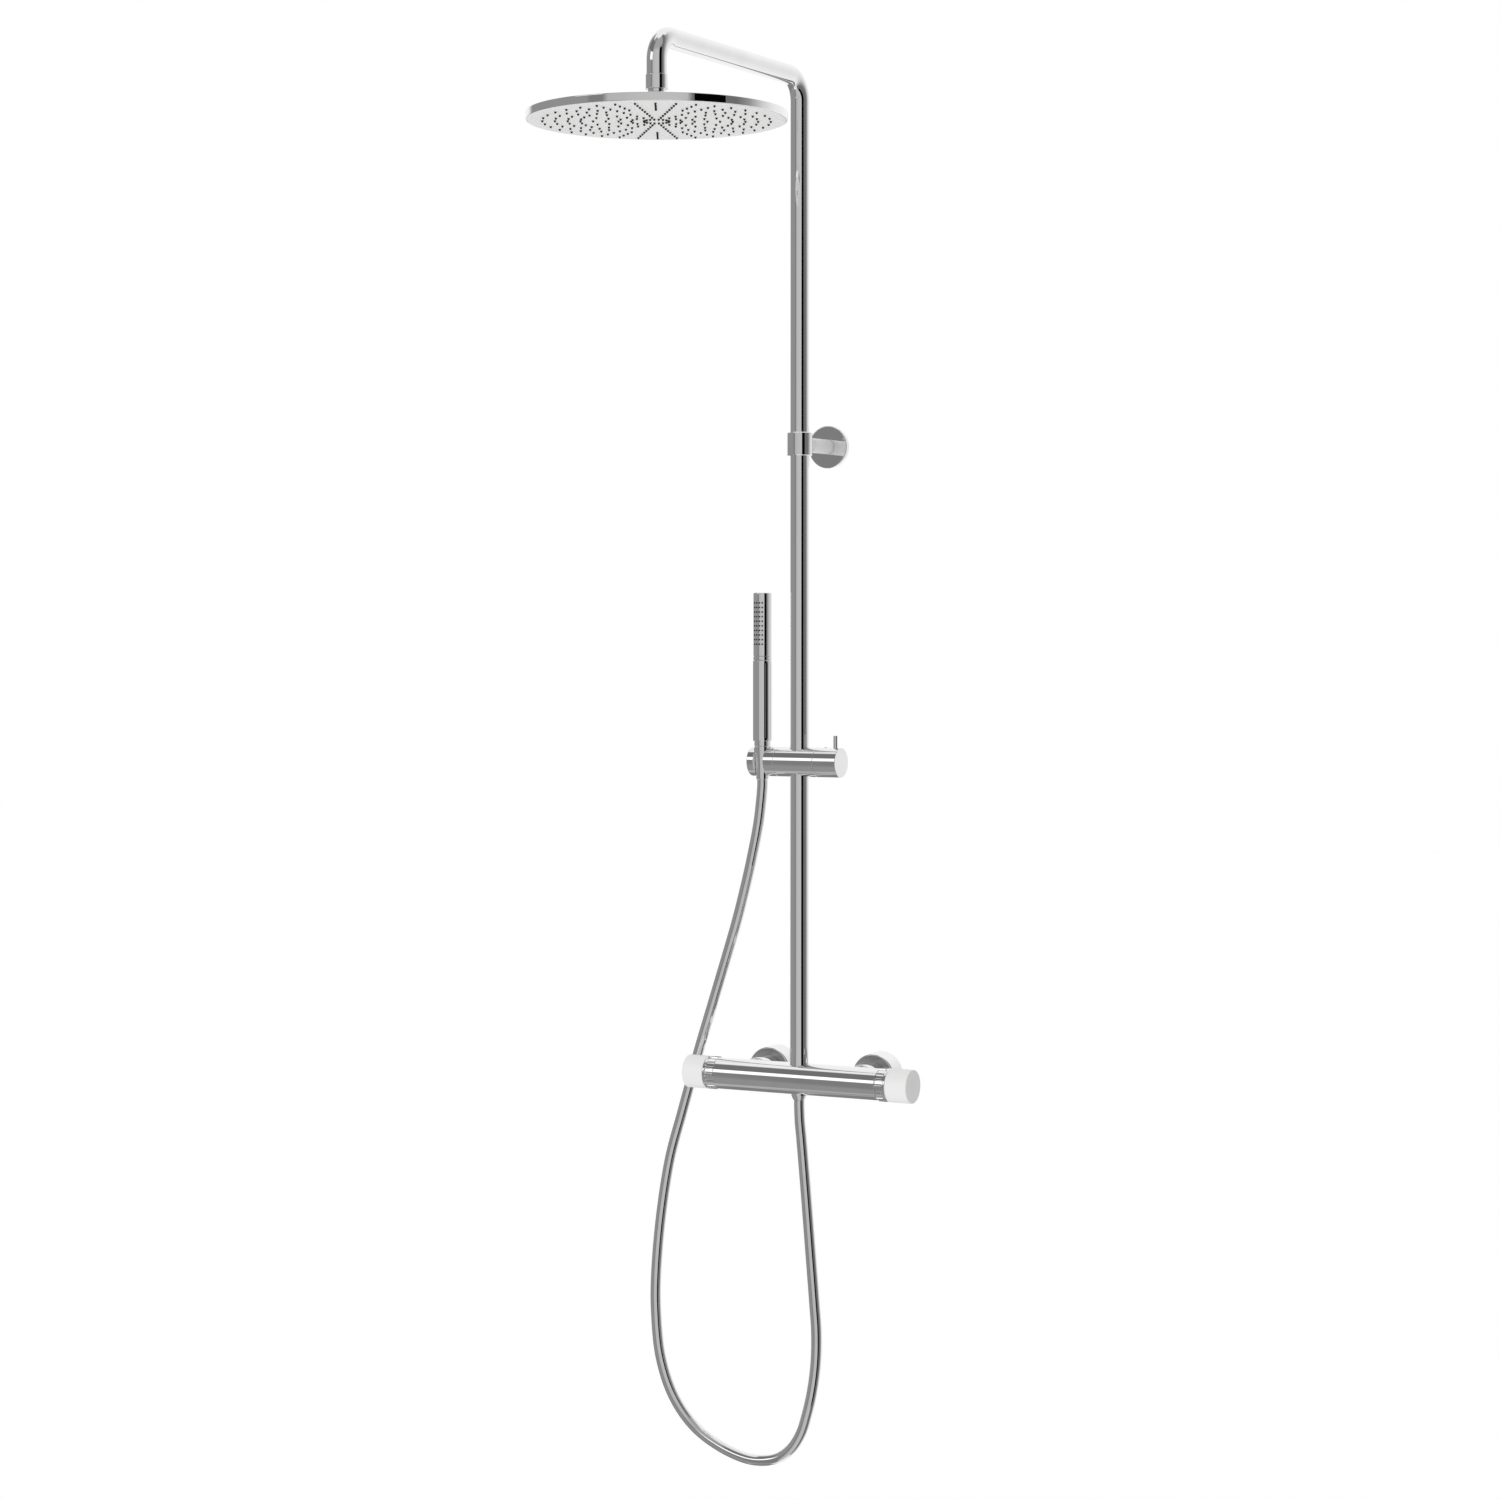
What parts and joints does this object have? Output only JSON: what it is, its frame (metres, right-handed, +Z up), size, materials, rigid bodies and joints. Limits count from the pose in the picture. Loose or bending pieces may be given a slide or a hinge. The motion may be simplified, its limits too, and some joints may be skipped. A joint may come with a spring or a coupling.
{
  "type": "rainfall shower column",
  "caption": "Wall shower column: bar thermostatic mixer, riser with swan-neck arm and round overhead rose, sliding holder with stick hand shower on a hanging hose.",
  "frame": {"origin": "on the wall plane, midway between the two inlets at the height of the mixer's axis", "axes": "+X to the right along the wall, +Y into the wall, +Z up; the riser stands 83 mm in front of the wall"},
  "size_m": [0.3845, 0.609, 1.7648],
  "materials": {
    "chrome": "mirror-polished chrome plate",
    "cap_white": "satin white moulded",
    "spray_face": "pale satin face with black soft nozzles",
    "hose_silver": "smooth silver sheathed hose",
    "brass": "machined",
    "steel": "bright zinc plated",
    "white_plastic": "moulded",
    "black_rubber": "matte"
  },
  "bodies": {
    "root": {"mixer_body": "chrome", "hot_escutcheon": "chrome", "cold_escutcheon": "chrome", "hot_union_nut": "chrome", "cold_union_nut": "chrome", "hose_lower_nut": "chrome", "riser_tube": "chrome", "shower_arm": "chrome", "arm_ferrule": "chrome", "ball_stem": "chrome", "bracket_flange": "chrome", "bracket_collar": "chrome", "hot_union": "brass", "cold_union": "brass", "outlet_nipple": "brass", "riser_nipple": "brass", "tube_coupler": "brass", "thermostatic_cartridge": "white_plastic", "diverter_cartridge": "white_plastic", "hot_check_valve": "white_plastic", "cold_check_valve": "white_plastic", "flow_limiter": "white_plastic", "hot_filter_washer": "black_rubber", "cold_filter_washer": "black_rubber", "riser_o_ring": "black_rubber", "wall_disc": "steel", "disc_screw_1": "steel", "disc_screw_2": "steel", "bracket_stud": "steel", "collar_grub_screw": "steel", "bracket_spacer": "cap_white", "shower_hose": "hose_silver"},
    "slider": {"slider_body": "chrome", "brake_shoe": "white_plastic", "holder_screw": "steel"},
    "lock_knob": {"lock_knob": "chrome", "lever_pin": "chrome", "knob_grub_screw": "steel", "clamp_screw": "steel"},
    "holder": {"holder": "chrome", "spring_washer": "steel"},
    "hose_nut": {"hose_cone_nut": "chrome", "hose_washer": "black_rubber"},
    "hand_shower": {"spray_tube": "chrome", "handset_ring": "chrome", "handset_grip": "chrome", "handset_waterway": "white_plastic", "nozzle_strip": "black_rubber", "handset_inlet": "chrome"},
    "temperature_handle": {"temperature_ring": "chrome", "temperature_cap": "cap_white", "temperature_spindle": "brass"},
    "flow_handle": {"flow_ring": "chrome", "flow_cap": "cap_white", "flow_spindle": "brass"},
    "rose_seal": {"ball_seal": "black_rubber"},
    "rose": {"rose_shell": "chrome", "spray_plate": "spray_face", "rose_gasket": "black_rubber", "ball_nut": "chrome"}
  },
  "joints": [
    {"name": "slider_height", "type": "slide", "parent": "root", "child": "slider", "axis": [0, 0, 1], "range_m": [-0.1, 0.36], "deforming": ["shower_hose"]},
    {"name": "knob_clamp", "type": "hinge", "parent": "slider", "child": "lock_knob", "pos_m": [0, -0.083, 0.4], "axis": [1, 0, 0], "range_deg": [0, 90]},
    {"name": "holder_tilt", "type": "hinge", "parent": "slider", "child": "holder", "pos_m": [0, -0.083, 0.4], "axis": [1, 0, 0], "range_deg": [-10, 35]},
    {"name": "hand_lift", "type": "slide", "parent": "holder", "child": "hose_nut", "axis": [0, 0, 1], "range_m": [0, 0.045]},
    {"name": "hand_turn", "type": "hinge", "parent": "hose_nut", "child": "hand_shower", "pos_m": [-0.05, -0.0885, 0.4192], "axis": [0, 0, 1], "range_deg": [-90, 90]},
    {"name": "temperature_turn", "type": "hinge", "parent": "root", "child": "temperature_handle", "pos_m": [0.13, -0.083, 0], "axis": [1, 0, 0], "range_deg": [-150, 90]},
    {"name": "flow_turn", "type": "hinge", "parent": "root", "child": "flow_handle", "pos_m": [-0.13, -0.083, 0], "axis": [1, 0, 0], "range_deg": [-90, 90]},
    {"name": "rose_tilt_side", "type": "hinge", "parent": "root", "child": "rose_seal", "pos_m": [0, -0.435, 1.176], "axis": [0, 1, 0], "range_deg": [-12, 12]},
    {"name": "rose_tilt_front", "type": "hinge", "parent": "rose_seal", "child": "rose", "pos_m": [0, -0.435, 1.176], "axis": [1, 0, 0], "range_deg": [-12, 12]}
  ]
}
